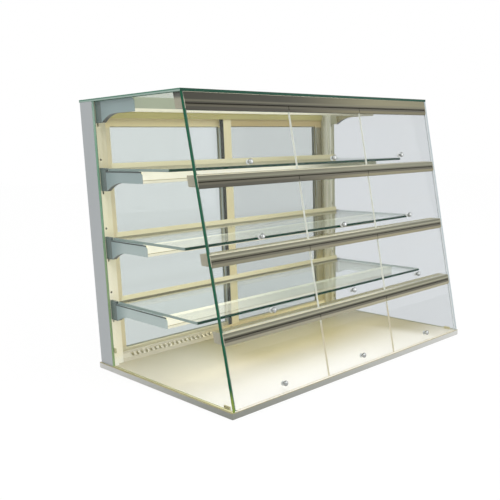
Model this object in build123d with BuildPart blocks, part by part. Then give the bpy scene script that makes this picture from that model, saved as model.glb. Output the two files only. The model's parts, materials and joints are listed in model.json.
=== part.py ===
"""Countertop bread display bin: a four-tier glazed bakery cabinet with lift-up front flaps.

The frame of the model: X runs to the right, Y to the rear and Z up, in millimetres.
The origin is the centre of the underside of the base. Everything is shown closed.
"""
from build123d import *
import math
import os

os.makedirs("parts", exist_ok=True)

# ----------------------------------------------------------------------------------------
# Driving dimensions
# ----------------------------------------------------------------------------------------

# Overall
cabinet_width = 1100.0  # base, left to right
cabinet_depth = 680.0  # base, front to rear
cabinet_height = 856.0  # counter to the upper face of the top glass
front_lean = 10.6  # degrees that the glazed front leans back from upright

# Base: a shallow tray, closed by the deck sheet and stiffened by hat channels
base_height = 18.0
base_corner = 3.0
tray_wall = 1.5
deck_thickness = 1.2
stiffener_count = 3
stiffener_width = 50.0
stiffener_flange = 14.0
stiffener_end_gap = 12.0

# Glazing
side_glass_thickness = 8.0
side_glass_inset = 4.0  # outer face of the side glass, in from the edge of the base
top_glass_thickness = 8.0
top_glass_rear_inset = 4.0
flap_setback = 6.0  # middle of the flap panes at deck level, behind the front edge of the base

# Rear posts: extruded covers flush with the side glass
post_depth = 72.0
post_rear_inset = 6.0
post_chamber_wall = 2.0
post_rear_web = 3.0
post_edge_chamfer = 2.0

# Uprights: stepped hollow profiles inside the posts, slotted for the brackets
upright_outer_step = 16.0  # width of the outer step
upright_inner_step = 25.0  # width of the inner step
upright_step_setback = 14.0  # inner step behind the outer step
upright_wall = 2.0
pilot_hole_radius = 2.5
pilot_hole_rise = 26.0  # hole above the shelf that its bracket carries

# Sliding doors and their tracks
door_thickness = 20.0
door_stile = 35.0
door_top_rail = 38.0
door_bottom_rail = 32.0
door_edge_break = 1.5
door_glass_thickness = 5.0
door_glass_bite = 8.0
door_side_clearance = 1.0
door_floor_clearance = 0.6
track_rib = 2.0
track_clearance = 0.5
track_base = 3.0
bottom_rib_height = 8.0
top_rib_height = 40.0
door_engagement = 12.0  # height of the door inside the top track
grip_length = 110.0
grip_width = 14.0
grip_depth = 8.0

# Header over the doors
header_depth_down = 47.0
header_wall = 2.0
header_step = 1.2
header_step_rise = 17.0  # height of the step above the lower edge
header_step_slope = 2.0

# Slotted vent sill at the foot of the doors
sill_sheet = 1.2
sill_riser = 14.0
sill_slope_run = 10.0
sill_slope_rise = 10.0
sill_upper = 8.0
sill_lip = 3.0
sill_gap = 0.3
vent_pitch = 18.0
vent_slot = 8.0
vent_end_margin = 32.0

# Tiers, from the top down
tiers = ("top", "upper", "middle", "lower")
shelf_tiers = ("upper", "middle", "lower")
top_tier_extra = 8.0  # height of the top tier, over that of a shelf tier
lower_tier_extra = 2.0  # height of the lowest tier, over that of a shelf tier

# Front rails: hollow extrusions with a hook-shaped hinge socket
rail_face = 4.0  # front face, ahead of the middle of the panes
rail_depth = 41.0
rail_foot_drop = 9.4  # foot of the rail below the hinge bead
rail_wall = 1.5
rail_facet_height = 11.0  # the face is upright up to here, then tips back
rail_facet_setback = 1.0
shelf_rail_drop = 20.6  # top of a shelf rail above its hinge bead
top_rail_drop = 33.2  # top of the top rail above its hinge bead
end_cap_thickness = 2.0

# Hinge: a round bead on the strip turns in the socket of the rail
bead_radius = 3.2
socket_clearance = 0.3
socket_wall = 1.5
socket_hook_angle = 265.0  # where the hook under the bead ends
lip_gap = 1.0  # lip of the rail above the bead

# Hinge strip on the top edge of each pane
strip_height = 14.0
strip_back = 3.4
strip_stop_gap = 0.4  # strip to the web of the rail, when closed
strip_neck_back = 0.8
strip_shoulder = 6.5
pane_bite = 4.8

# Flap panes
pane_thickness = 4.0
pane_foot_gap = 1.6
centre_flap_width = 322.0
flap_gap = 2.0
flap_side_gap = 1.0

# Knobs
knob_rise = 27.0  # above the foot of the pane
knob_radius = 8.0
knob_neck_radius = 4.5
knob_length = 12.0
knob_neck_length = 5.0
knob_edge = 1.5
knob_stud_radius = 2.8
knob_hole_clearance = 0.3
knob_washer_radius = 6.0
knob_washer_thickness = 1.5

# Shelves
shelf_thickness = 8.0
shelf_above_rails = {"upper": 15.0, "middle": 9.0, "lower": 11.0}
shelf_side_gap = 10.0  # end of the shelf to the side glass
# Front edges of the shelves behind the rails
shelf_rail_gaps = {"upper": 90.0, "middle": 76.0, "lower": 76.0}
shelf_corner = 5.0
rear_strip_rise = 15.0
rear_strip_sheet = 1.5
rear_strip_lip = 9.0
rear_strip_end_gap = 7.0  # end of the strip to the bracket

# Shelf brackets
bracket_glass_gap = 2.0
bracket_width = 14.0
bracket_wall = 3.0
bracket_arm_height = 34.0
top_arm_height = 38.5
bracket_root_height = 60.0
top_root_height = 63.0
lower_root_height = 54.0
bracket_gusset_length = 78.0
bracket_gusset_sag = 6.0
bracket_nose_chamfer = 9.0
top_arm_length = 179.0
shelf_arm_length = 194.0
lower_arm_length = 272.0
hook_plate_depth = 34.0
hook_plate_thickness = 8.0
hook_plate_rise = 9.0  # stop behind the shelf, above the arm
lug_thickness = 4.0
lug_height = 12.0
lug_reach = 6.0
lug_fall = 4.0
lug_clearance = 0.4
lug_inset = 6.0  # lug from the end of its hook plate
slot_overrun = 16.0  # slot below the lower lug

# Light bars
light_bar_depth = 26.0
light_bar_wall = 1.5
diffuser_height = 8.0
diffuser_wall = 2.0
diffuser_corner = 1.5

# Clips that hold the side glass
clip_thickness = 5.0
clip_depth = 8.0
clip_height = 16.0
clip_corner = 2.0
clip_centre = 70.0
foot_clip_length = 25.0
foot_clip_height = 8.0
foot_clip_behind_flap = 20.0

# ----------------------------------------------------------------------------------------
# Places worked out from the driving dimensions
# ----------------------------------------------------------------------------------------

lean = math.radians(front_lean)
front_y = -cabinet_depth / 2
rear_y = cabinet_depth / 2
roof_z = cabinet_height - top_glass_thickness

glass_outer_x = cabinet_width / 2 - side_glass_inset
glass_inner_x = glass_outer_x - side_glass_thickness

post_rear_y = rear_y - post_rear_inset
post_front_y = post_rear_y - post_depth
upright_rear_y = post_rear_y - post_rear_web
inner_step_y = post_front_y + upright_step_setback
outer_step_x = glass_inner_x - upright_outer_step
opening_half = outer_step_x - upright_inner_step

track_depth = 3 * track_rib + 4 * track_clearance + 2 * door_thickness
track_front_y = post_rear_y - track_clearance - track_depth
front_door_y = track_front_y + track_rib + track_clearance
rear_door_y = front_door_y + door_thickness + 2 * track_clearance + track_rib
door_bottom_z = base_height + track_base + door_floor_clearance
header_bottom_z = roof_z - header_depth_down
top_track_z = roof_z - header_wall
door_top_z = top_track_z - track_base - top_rib_height + door_engagement
door_width = opening_half - door_side_clearance + door_stile / 2

tier_pitch = (roof_z - base_height - top_tier_extra - lower_tier_extra) / len(tiers)
lowest_rail_top = base_height + lower_tier_extra + tier_pitch
rail_tops = {
    "top": roof_z,
    "upper": lowest_rail_top + 2 * tier_pitch,
    "middle": lowest_rail_top + tier_pitch,
    "lower": lowest_rail_top,
}
rail_drops = {tier: top_rail_drop if tier == "top" else shelf_rail_drop for tier in tiers}
bead_heights = {tier: rail_tops[tier] - rail_drops[tier] for tier in tiers}
pane_foot_heights = {
    "top": rail_tops["upper"] + pane_foot_gap,
    "upper": rail_tops["middle"] + pane_foot_gap,
    "middle": rail_tops["lower"] + pane_foot_gap,
    "lower": base_height + pane_foot_gap,
}
shelf_tops = {tier: rail_tops[tier] + shelf_above_rails[tier] for tier in shelf_tiers}
support_heights = {tier: shelf_tops[tier] - shelf_thickness for tier in shelf_tiers}
support_heights["top"] = roof_z
arm_heights = {tier: top_arm_height if tier == "top" else bracket_arm_height for tier in tiers}
root_heights = {
    "top": top_root_height,
    "upper": bracket_root_height,
    "middle": bracket_root_height,
    "lower": lower_root_height,
}
arm_lengths = {
    "top": top_arm_length,
    "upper": shelf_arm_length,
    "middle": shelf_arm_length,
    "lower": lower_arm_length,
}

rail_rear = rail_face - rail_depth
rail_half_length = glass_inner_x - end_cap_thickness
strip_web = -(strip_back + strip_stop_gap)
socket_radius = bead_radius + socket_clearance
hook_radius = socket_radius + socket_wall
lip_height = bead_radius + lip_gap

bracket_outer_x = glass_inner_x - bracket_glass_gap
bracket_inner_x = bracket_outer_x - bracket_width
bracket_web_x = bracket_outer_x - bracket_wall
hook_front_y = post_front_y - hook_plate_depth
hook_plate_x = bracket_outer_x - hook_plate_thickness / 2
lug_x = bracket_outer_x - hook_plate_thickness + lug_thickness / 2
shelf_rear_y = hook_front_y - bracket_glass_gap / 2
shelf_half_width = glass_inner_x - shelf_side_gap
rear_strip_half_length = bracket_inner_x - rear_strip_end_gap

flap_columns = {
    "left": (-rail_half_length + flap_side_gap, -centre_flap_width / 2 - flap_gap),
    "centre": (-centre_flap_width / 2, centre_flap_width / 2),
    "right": (centre_flap_width / 2 + flap_gap, rail_half_length - flap_side_gap),
}


def flap_plane_y(height):
    """Y of the middle of the flap panes at a height."""
    return front_y + flap_setback + (height - base_height) * math.tan(lean)


def slope_plane(x, bead_height):
    """Plane across a rail: local X points out of the front, local Y up the slope, from the bead."""
    return Plane(
        origin=(x, flap_plane_y(bead_height), bead_height),
        x_dir=(0, -math.cos(lean), math.sin(lean)),
        z_dir=(-1, 0, 0),
    )


def up_slope(out, rise):
    """Local Y of the point that lies `out` from the flap plane and `rise` above the bead."""
    return (rise - out * math.sin(lean)) / math.cos(lean)


def on_circle(radius, angle):
    """Point on a circle round the hinge bead, at an angle in degrees."""
    return (radius * math.cos(math.radians(angle)), radius * math.sin(math.radians(angle)))


def face_front_y(height):
    """Y of the front faces of the rails and side glass at a height."""
    return flap_plane_y(height) - rail_face / math.cos(lean)


# ----------------------------------------------------------------------------------------
# Base
# ----------------------------------------------------------------------------------------

with BuildPart() as base_tray:
    with BuildSketch(Plane.XY):
        RectangleRounded(cabinet_width, cabinet_depth, base_corner)
    extrude(amount=base_height - deck_thickness)
    offset(amount=-tray_wall, openings=base_tray.faces().sort_by(Axis.Z)[-1])
base_tray.part.label = "base_tray"
export_step(base_tray.part, "parts/base_tray.step")

stiffener_height = base_height - deck_thickness - tray_wall
stiffener_half_length = cabinet_width / 2 - tray_wall - stiffener_end_gap
stiffener_pitch = cabinet_depth / (stiffener_count + 1)
with BuildPart() as base_stiffeners:
    with BuildSketch(Plane.YZ.offset(-stiffener_half_length)):
        with GridLocations(stiffener_pitch, 1, stiffener_count, 1):
            with Locations((0, tray_wall + stiffener_height / 2)):
                Rectangle(stiffener_width, stiffener_height)
            with Locations((0, tray_wall + (stiffener_height - tray_wall) / 2)):
                Rectangle(
                    stiffener_width - 2 * tray_wall,
                    stiffener_height - tray_wall,
                    mode=Mode.SUBTRACT,
                )
            for flange_side in (-1, 1):
                flange_centre = flange_side * (stiffener_width + stiffener_flange) / 2
                with Locations((flange_centre, 1.5 * tray_wall)):
                    Rectangle(stiffener_flange, tray_wall)
    extrude(amount=2 * stiffener_half_length)
base_stiffeners.part.label = "base_stiffeners"
export_step(base_stiffeners.part, "parts/base_stiffeners.step")

with BuildPart() as deck_sheet:
    with BuildSketch(Plane.XY.offset(base_height - deck_thickness)):
        RectangleRounded(cabinet_width, cabinet_depth, base_corner)
    extrude(amount=deck_thickness)
deck_sheet.part.label = "deck_sheet"
export_step(deck_sheet.part, "parts/deck_sheet.step")

# ----------------------------------------------------------------------------------------
# Rear posts and uprights
# ----------------------------------------------------------------------------------------

upright_height = roof_z - base_height
bracket_slot_height = lug_height + lug_fall + 2 * lug_clearance
bracket_slot_width = lug_thickness + 2 * lug_clearance


def hook_plate_span(tier):
    """Lower and upper end of the hook plate of a bracket."""
    support = support_heights[tier]
    upper = support if tier == "top" else support + hook_plate_rise
    return support - root_heights[tier], upper


def lug_bottoms(tier):
    """Lower edges of the two lugs of a bracket, where they cross the wall of the upright."""
    lower, upper = hook_plate_span(tier)
    return lower + lug_inset, upper - lug_inset - lug_height - lug_fall


for side, side_name in ((-1, "left"), (1, "right")):
    with BuildPart() as post:
        with BuildSketch(Plane.XY.offset(base_height)) as post_plan:
            with BuildLine():
                Polyline(
                    (side * glass_outer_x, post_front_y),
                    (side * glass_inner_x, post_front_y),
                    (side * glass_inner_x, upright_rear_y),
                    (side * opening_half, upright_rear_y),
                    (side * opening_half, post_rear_y),
                    (side * glass_outer_x, post_rear_y),
                    close=True,
                )
            make_face()
            outer_corners = post_plan.vertices().group_by(Axis.X)[0 if side < 0 else -1]
            chamfer(outer_corners, post_edge_chamfer)
            chamber_x = side * (glass_inner_x + side_glass_thickness / 2)
            with Locations((chamber_x, (post_front_y + upright_rear_y) / 2)):
                Rectangle(
                    side_glass_thickness - 2 * post_chamber_wall,
                    upright_rear_y - post_front_y - 4 * post_chamber_wall,
                    mode=Mode.SUBTRACT,
                )
        extrude(amount=upright_height)
    post.part.label = f"{side_name}_post"
    export_step(post.part, f"parts/{side_name}_post.step")

    with BuildPart() as upright:
        with BuildSketch(Plane.XY.offset(base_height)) as upright_plan:
            with BuildLine():
                Polyline(
                    (side * glass_inner_x, post_front_y),
                    (side * outer_step_x, post_front_y),
                    (side * outer_step_x, inner_step_y),
                    (side * opening_half, inner_step_y),
                    (side * opening_half, upright_rear_y),
                    (side * glass_inner_x, upright_rear_y),
                    close=True,
                )
            make_face()
            offset(amount=-upright_wall, kind=Kind.INTERSECTION, mode=Mode.SUBTRACT)
        extrude(amount=upright_height)
        with BuildSketch(Plane.XZ.offset(-post_front_y)):
            for tier in tiers:
                for lug_bottom, overrun in zip(lug_bottoms(tier), (slot_overrun, 0)):
                    slot_height = bracket_slot_height + overrun
                    slot_centre = lug_bottom - lug_clearance - overrun + slot_height / 2
                    with Locations((side * lug_x, slot_centre)):
                        Rectangle(bracket_slot_width, slot_height)
            for tier in shelf_tiers:
                with Locations((side * lug_x, shelf_tops[tier] + pilot_hole_rise)):
                    Circle(pilot_hole_radius)
        extrude(amount=-upright_wall, mode=Mode.SUBTRACT)
    upright.part.label = f"{side_name}_upright"
    export_step(upright.part, f"parts/{side_name}_upright.step")

# ----------------------------------------------------------------------------------------
# Header, door tracks and vent sill
# ----------------------------------------------------------------------------------------

header_front_y = track_front_y - header_wall
header_step_z = header_bottom_z + header_step_rise
track_rear_y = track_front_y + track_depth
with BuildPart() as header_rail:
    with BuildSketch(Plane.YZ.offset(-opening_half)):
        with BuildLine():
            Polyline(
                (track_front_y, header_bottom_z),
                (header_front_y, header_bottom_z),
                (header_front_y, header_step_z),
                (header_front_y - header_step, header_step_z + header_step_slope),
                (header_front_y - header_step, roof_z),
                (track_rear_y, roof_z),
                (track_rear_y, roof_z - header_wall),
                (track_front_y, roof_z - header_wall),
                close=True,
            )
        make_face()
    extrude(amount=2 * opening_half)
header_rail.part.label = "header_rail"
export_step(header_rail.part, "parts/header_rail.step")

rib_pitch = track_rib + 2 * track_clearance + door_thickness
track_centre_y = track_front_y + track_depth / 2
for track_name, base_centre, rib_centre, rib_height in (
    (
        "top_door_track",
        top_track_z - track_base / 2,
        top_track_z - track_base - top_rib_height / 2,
        top_rib_height,
    ),
    (
        "bottom_door_track",
        base_height + track_base / 2,
        base_height + track_base + bottom_rib_height / 2,
        bottom_rib_height,
    ),
):
    with BuildPart() as door_track:
        with BuildSketch(Plane.YZ.offset(-opening_half)):
            with Locations((track_centre_y, base_centre)):
                Rectangle(track_depth, track_base)
            with Locations((track_centre_y, rib_centre)):
                with GridLocations(rib_pitch, 1, 3, 1):
                    Rectangle(track_rib, rib_height)
        extrude(amount=2 * opening_half)
    door_track.part.label = track_name
    export_step(door_track.part, f"parts/{track_name}.step")

sill_rear_y = track_front_y - sill_gap
sill_wall_y = sill_rear_y - sill_sheet
sill_front_y = sill_wall_y - sill_slope_run
sill_slope_z = base_height + sill_riser
sill_wall_z = sill_slope_z + sill_slope_rise
sill_top_z = sill_wall_z + sill_upper
vent_span = 2 * (opening_half - vent_end_margin)
vent_count = int(vent_span / vent_pitch) + 1
with BuildPart() as rear_vent_sill:
    with BuildSketch(Plane.YZ.offset(-opening_half)):
        with BuildLine() as sill_line:
            Polyline(
                (sill_rear_y, base_height),
                (sill_front_y, base_height),
                (sill_front_y, sill_slope_z),
                (sill_wall_y, sill_wall_z),
                (sill_wall_y, sill_top_z),
                (sill_wall_y + sill_lip, sill_top_z),
            )
            offset(amount=sill_sheet, side=Side.RIGHT, kind=Kind.INTERSECTION)
        make_face()
    extrude(amount=2 * opening_half)
    with BuildSketch(Plane.XY.offset(sill_slope_z)):
        with Locations((0, sill_front_y + sill_slope_run / 2)):
            with GridLocations(vent_pitch, 1, vent_count, 1):
                Rectangle(vent_slot, sill_slope_run + 2 * sill_sheet)
    extrude(amount=sill_slope_rise, mode=Mode.SUBTRACT)
rear_vent_sill.part.label = "rear_vent_sill"
export_step(rear_vent_sill.part, "parts/rear_vent_sill.step")

# ----------------------------------------------------------------------------------------
# Fixed glass
# ----------------------------------------------------------------------------------------

for side, side_name in ((-1, "left"), (1, "right")):
    inner_face = side * glass_inner_x if side > 0 else -glass_outer_x
    with BuildPart() as side_glass:
        with BuildSketch(Plane.YZ.offset(inner_face)):
            with BuildLine():
                Polyline(
                    (post_front_y, base_height),
                    (face_front_y(base_height), base_height),
                    (face_front_y(roof_z), roof_z),
                    (post_front_y, roof_z),
                    close=True,
                )
            make_face()
        extrude(amount=side_glass_thickness)
    side_glass.part.label = f"{side_name}_side_glass"
    export_step(side_glass.part, f"parts/{side_name}_side_glass.step")

top_glass_front_y = face_front_y(roof_z)
top_glass_rear_y = rear_y - top_glass_rear_inset
with BuildPart() as top_glass:
    with BuildSketch(Plane.XY.offset(roof_z)):
        with Locations((0, (top_glass_front_y + top_glass_rear_y) / 2)):
            Rectangle(2 * glass_outer_x, top_glass_rear_y - top_glass_front_y)
    extrude(amount=top_glass_thickness)
top_glass.part.label = "top_glass"
export_step(top_glass.part, "parts/top_glass.step")

for tier in shelf_tiers:
    rail_rear_y = flap_plane_y(shelf_tops[tier]) - rail_rear / math.cos(lean)
    shelf_front_y = rail_rear_y + shelf_rail_gaps[tier]
    with BuildPart() as shelf_glass:
        with BuildSketch(Plane.XY.offset(support_heights[tier])) as shelf_plan:
            with Locations((0, (shelf_front_y + shelf_rear_y) / 2)):
                Rectangle(2 * shelf_half_width, shelf_rear_y - shelf_front_y)
            fillet(shelf_plan.vertices().group_by(Axis.Y)[0], shelf_corner)
        extrude(amount=shelf_thickness)
    shelf_glass.part.label = f"{tier}_shelf_glass"
    export_step(shelf_glass.part, f"parts/{tier}_shelf_glass.step")

with BuildPart() as shelf_rear_strips:
    for tier in shelf_tiers:
        under = support_heights[tier]
        upper = shelf_tops[tier]
        with BuildSketch(Plane.YZ.offset(-rear_strip_half_length)):
            with BuildLine():
                Polyline(
                    (shelf_rear_y - rear_strip_lip, under),
                    (shelf_rear_y - rear_strip_lip, under - rear_strip_sheet),
                    (shelf_rear_y + rear_strip_sheet, under - rear_strip_sheet),
                    (shelf_rear_y + rear_strip_sheet, upper + rear_strip_rise),
                    (shelf_rear_y, upper + rear_strip_rise),
                    (shelf_rear_y, under),
                    close=True,
                )
            make_face()
        extrude(amount=2 * rear_strip_half_length)
shelf_rear_strips.part.label = "shelf_rear_strips"
export_step(shelf_rear_strips.part, "parts/shelf_rear_strips.step")

# ----------------------------------------------------------------------------------------
# Front rails and their end caps
# ----------------------------------------------------------------------------------------


def rail_section(drop):
    """Hollow section of a front rail, drawn round the hinge bead at its origin."""
    bottom = -rail_foot_drop
    front_wall = rail_face - rail_facet_setback - rail_wall
    rear_wall = rail_rear + rail_wall
    web_rear = -hook_radius - socket_clearance
    web_front = strip_web
    wall_rise = rail_wall / math.cos(lean)
    web_meets_hook = (strip_web, -math.sqrt(hook_radius**2 - strip_web**2))
    web_angle = 360 + math.degrees(math.atan2(web_meets_hook[1], web_meets_hook[0]))
    with BuildSketch() as section:
        with BuildLine():
            Polyline(
                (0, socket_radius),
                (0, lip_height),
                (rail_face, lip_height),
                (rail_face, rail_facet_height),
                (rail_face - rail_facet_setback, up_slope(rail_face - rail_facet_setback, drop)),
                (rail_rear, up_slope(rail_rear, drop)),
                (rail_rear, up_slope(rail_rear, bottom)),
                (strip_web, up_slope(strip_web, bottom)),
                web_meets_hook,
            )
            ThreePointArc(
                web_meets_hook,
                on_circle(hook_radius, (web_angle + socket_hook_angle) / 2),
                on_circle(hook_radius, socket_hook_angle),
            )
            Line(
                on_circle(hook_radius, socket_hook_angle),
                on_circle(socket_radius, socket_hook_angle),
            )
            ThreePointArc(
                on_circle(socket_radius, socket_hook_angle),
                (-socket_radius, 0),
                (0, socket_radius),
            )
        make_face()
        with BuildLine():
            Polyline(
                (web_rear, up_slope(web_rear, bottom) + wall_rise),
                (web_rear, up_slope(web_rear, drop) - wall_rise),
                (rear_wall, up_slope(rear_wall, drop) - wall_rise),
                (rear_wall, up_slope(rear_wall, bottom) + wall_rise),
                close=True,
            )
        make_face(mode=Mode.SUBTRACT)
        with BuildLine():
            Polyline(
                (web_front, lip_height + rail_wall),
                (front_wall, lip_height + rail_wall),
                (front_wall, up_slope(front_wall, drop) - wall_rise),
                (web_front, up_slope(web_front, drop) - wall_rise),
                close=True,
            )
        make_face(mode=Mode.SUBTRACT)
    return section.sketch


for tier in tiers:
    with BuildPart() as front_rail:
        with BuildSketch(slope_plane(rail_half_length, bead_heights[tier])):
            add(rail_section(rail_drops[tier]))
        extrude(amount=2 * rail_half_length)
    front_rail.part.label = f"{tier}_front_rail"
    export_step(front_rail.part, f"parts/{tier}_front_rail.step")

with BuildPart() as rail_end_caps:
    for tier in tiers:
        drop = rail_drops[tier]
        bottom = -rail_foot_drop
        for cap_x in (glass_inner_x, -rail_half_length):
            with BuildSketch(slope_plane(cap_x, bead_heights[tier])):
                with BuildLine():
                    Polyline(
                        (rail_face, up_slope(rail_face, bottom)),
                        (rail_face, rail_facet_height),
                        (
                            rail_face - rail_facet_setback,
                            up_slope(rail_face - rail_facet_setback, drop),
                        ),
                        (rail_rear, up_slope(rail_rear, drop)),
                        (rail_rear, up_slope(rail_rear, bottom)),
                        close=True,
                    )
                make_face()
            extrude(amount=end_cap_thickness)
rail_end_caps.part.label = "rail_end_caps"
export_step(rail_end_caps.part, "parts/rail_end_caps.step")

# ----------------------------------------------------------------------------------------
# Flaps: a clear pane, a hinge strip along its top edge and a knob near its foot
# ----------------------------------------------------------------------------------------


def strip_section():
    """Section of the hinge strip, drawn round the bead at its origin."""
    pane_half = pane_thickness / 2
    slot_top = -strip_height + pane_bite
    neck_end = (strip_neck_back, -math.sqrt(bead_radius**2 - strip_neck_back**2))
    with BuildSketch() as section:
        with BuildLine():
            Polyline(
                (bead_radius, 0),
                (bead_radius, -strip_height),
                (pane_half, -strip_height),
                (pane_half, slot_top),
                (-pane_half, slot_top),
                (-pane_half, -strip_height),
                (-strip_back, -strip_height),
                (-strip_back, -strip_shoulder),
                (strip_neck_back, -strip_shoulder),
                neck_end,
            )
            ThreePointArc(neck_end, on_circle(bead_radius, 140), (bead_radius, 0))
        make_face()
    return section.sketch


def knob_profile():
    """Half section of the knob, its stud and washer, from the axis outward."""
    face = pane_thickness / 2
    with BuildSketch() as section:
        with BuildLine():
            Polyline(
                (-face - knob_washer_thickness, 0),
                (-face - knob_washer_thickness, knob_washer_radius),
                (-face, knob_washer_radius),
                (-face, knob_stud_radius),
                (face, knob_stud_radius),
                (face, knob_neck_radius),
                (face + knob_neck_length, knob_neck_radius),
                (face + knob_neck_length, knob_radius),
                (face + knob_length - knob_edge, knob_radius),
                (face + knob_length, knob_radius - knob_edge),
                (face + knob_length, 0),
                close=True,
            )
        make_face()
    return section.sketch


for tier in tiers:
    bead_height = bead_heights[tier]
    pane_top = -strip_height + pane_bite
    foot_rise = pane_foot_heights[tier] - bead_height
    pane_foot = up_slope(-pane_thickness / 2, foot_rise)
    knob_along = pane_foot + knob_rise
    for column, (flap_left, flap_right) in flap_columns.items():
        flap_width = flap_right - flap_left
        flap_plane = slope_plane((flap_left + flap_right) / 2, bead_height)
        knob_origin = flap_plane.from_local_coords((0, knob_along, 0))

        with BuildPart() as flap_pane:
            with BuildSketch(slope_plane(flap_right, bead_height)):
                with Locations((0, (pane_top + pane_foot) / 2)):
                    Rectangle(pane_thickness, pane_top - pane_foot)
            extrude(amount=flap_width)
            with Locations(Plane(origin=knob_origin, x_dir=(1, 0, 0), z_dir=flap_plane.x_dir)):
                Hole(knob_stud_radius + knob_hole_clearance)
        flap_pane.part.label = f"{tier}_{column}_flap_pane"
        export_step(flap_pane.part, f"parts/{tier}_{column}_flap_pane.step")

        with BuildPart() as flap_hardware:
            with BuildSketch(slope_plane(flap_right, bead_height)):
                add(strip_section())
            extrude(amount=flap_width)
            with BuildSketch(Plane(origin=knob_origin, x_dir=flap_plane.x_dir, z_dir=(-1, 0, 0))):
                add(knob_profile())
            revolve(axis=Axis(knob_origin, flap_plane.x_dir))
        flap_hardware.part.label = f"{tier}_{column}_hinge_strip_and_knob"
        export_step(flap_hardware.part, f"parts/{tier}_{column}_hinge_strip_and_knob.step")

# ----------------------------------------------------------------------------------------
# Brackets, hook plates, light bars and diffusers
# ----------------------------------------------------------------------------------------


def bracket_outline(tier):
    """Side view of a bracket: a straight arm with a hollow-curved gusset under its root."""
    support = support_heights[tier]
    arm_end = hook_front_y - arm_lengths[tier]
    arm_under = support - arm_heights[tier]
    gusset_start = hook_front_y - bracket_gusset_length
    root_under = support - root_heights[tier]
    with BuildSketch() as outline:
        with BuildLine():
            Polyline(
                (hook_front_y, root_under),
                (hook_front_y, support),
                (arm_end + bracket_nose_chamfer, support),
                (arm_end, support - bracket_nose_chamfer),
                (arm_end, arm_under),
                (gusset_start, arm_under),
            )
            ThreePointArc(
                (gusset_start, arm_under),
                (
                    (gusset_start + hook_front_y) / 2,
                    (arm_under + root_under) / 2 + bracket_gusset_sag,
                ),
                (hook_front_y, root_under),
            )
        make_face()
    return outline.sketch


for side, side_name in ((-1, "left"), (1, "right")):
    with BuildPart() as brackets:
        for tier in tiers:
            with BuildSketch(Plane.YZ.offset(side * bracket_outer_x)):
                add(bracket_outline(tier))
            extrude(amount=-side * bracket_width)
        for tier in tiers:
            with BuildSketch(Plane.YZ.offset(side * bracket_inner_x)):
                add(bracket_outline(tier))
                offset(amount=-bracket_wall, kind=Kind.INTERSECTION, mode=Mode.REPLACE)
                bar_rear = hook_front_y - arm_lengths[tier] + light_bar_depth
                bar_middle = support_heights[tier] - arm_heights[tier] / 2
                with Locations((bar_rear - light_bar_depth / 2, bar_middle)):
                    Rectangle(light_bar_depth, arm_heights[tier])
            extrude(amount=side * (bracket_width - bracket_wall), mode=Mode.SUBTRACT)
    brackets.part.label = f"{side_name}_brackets"
    export_step(brackets.part, f"parts/{side_name}_brackets.step")

with BuildPart() as bracket_hooks:
    for side in (-1, 1):
        for tier in tiers:
            lower, upper = hook_plate_span(tier)
            with BuildSketch(Plane.YZ.offset(side * hook_plate_x)):
                with Locations((post_front_y - hook_plate_depth / 2, (lower + upper) / 2)):
                    Rectangle(hook_plate_depth, upper - lower)
            extrude(amount=hook_plate_thickness / 2, both=True)
            with BuildSketch(Plane.YZ.offset(side * lug_x)):
                for lug_bottom in lug_bottoms(tier):
                    neck = lug_bottom + lug_fall
                    with BuildLine():
                        Polyline(
                            (post_front_y, neck + lug_height),
                            (post_front_y + lug_reach, neck + lug_height),
                            (post_front_y + lug_reach, lug_bottom),
                            (post_front_y + upright_wall + lug_clearance, lug_bottom),
                            (post_front_y + upright_wall + lug_clearance, neck),
                            (post_front_y, neck),
                            close=True,
                        )
                    make_face()
            extrude(amount=lug_thickness / 2, both=True)
bracket_hooks.part.label = "bracket_hooks"
export_step(bracket_hooks.part, "parts/bracket_hooks.step")

for tier in tiers:
    bar_front = hook_front_y - arm_lengths[tier]
    bar_top = support_heights[tier]
    bar_height = arm_heights[tier]
    bar_bottom = bar_top - bar_height
    inner_height = bar_height - light_bar_wall
    with BuildPart() as light_bar:
        with BuildSketch(Plane.YZ.offset(-bracket_web_x)):
            with Locations((bar_front + light_bar_depth / 2, bar_top - bar_height / 2)):
                Rectangle(light_bar_depth, bar_height)
            with Locations((bar_front + light_bar_depth / 2, bar_bottom + inner_height / 2)):
                Rectangle(light_bar_depth - 2 * light_bar_wall, inner_height, mode=Mode.SUBTRACT)
            with Locations((bar_front + light_bar_wall / 2, bar_bottom + diffuser_height / 2)):
                Rectangle(light_bar_wall, diffuser_height, mode=Mode.SUBTRACT)
        extrude(amount=2 * bracket_web_x)
    light_bar.part.label = f"{tier}_light_bar"
    export_step(light_bar.part, f"parts/{tier}_light_bar.step")

with BuildPart() as light_diffusers:
    for tier in tiers:
        bar_front = hook_front_y - arm_lengths[tier]
        bar_bottom = support_heights[tier] - arm_heights[tier]
        diffuser_rear = bar_front + light_bar_depth - light_bar_wall
        with BuildSketch(Plane.YZ.offset(-bracket_web_x)) as diffuser_section:
            with BuildLine():
                Polyline(
                    (bar_front, bar_bottom + diffuser_height),
                    (bar_front, bar_bottom),
                    (diffuser_rear, bar_bottom),
                    (diffuser_rear, bar_bottom + diffuser_wall),
                    (bar_front + diffuser_wall, bar_bottom + diffuser_wall),
                    (bar_front + diffuser_wall, bar_bottom + diffuser_height),
                    close=True,
                )
            make_face()
            front_corner = diffuser_section.vertices().group_by(Axis.Y)[0].sort_by(Axis.X)[0]
            fillet(front_corner, diffuser_corner)
        extrude(amount=2 * bracket_web_x)
light_diffusers.part.label = "light_diffusers"
export_step(light_diffusers.part, "parts/light_diffusers.step")

# ----------------------------------------------------------------------------------------
# Clips for the side glass
# ----------------------------------------------------------------------------------------

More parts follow.
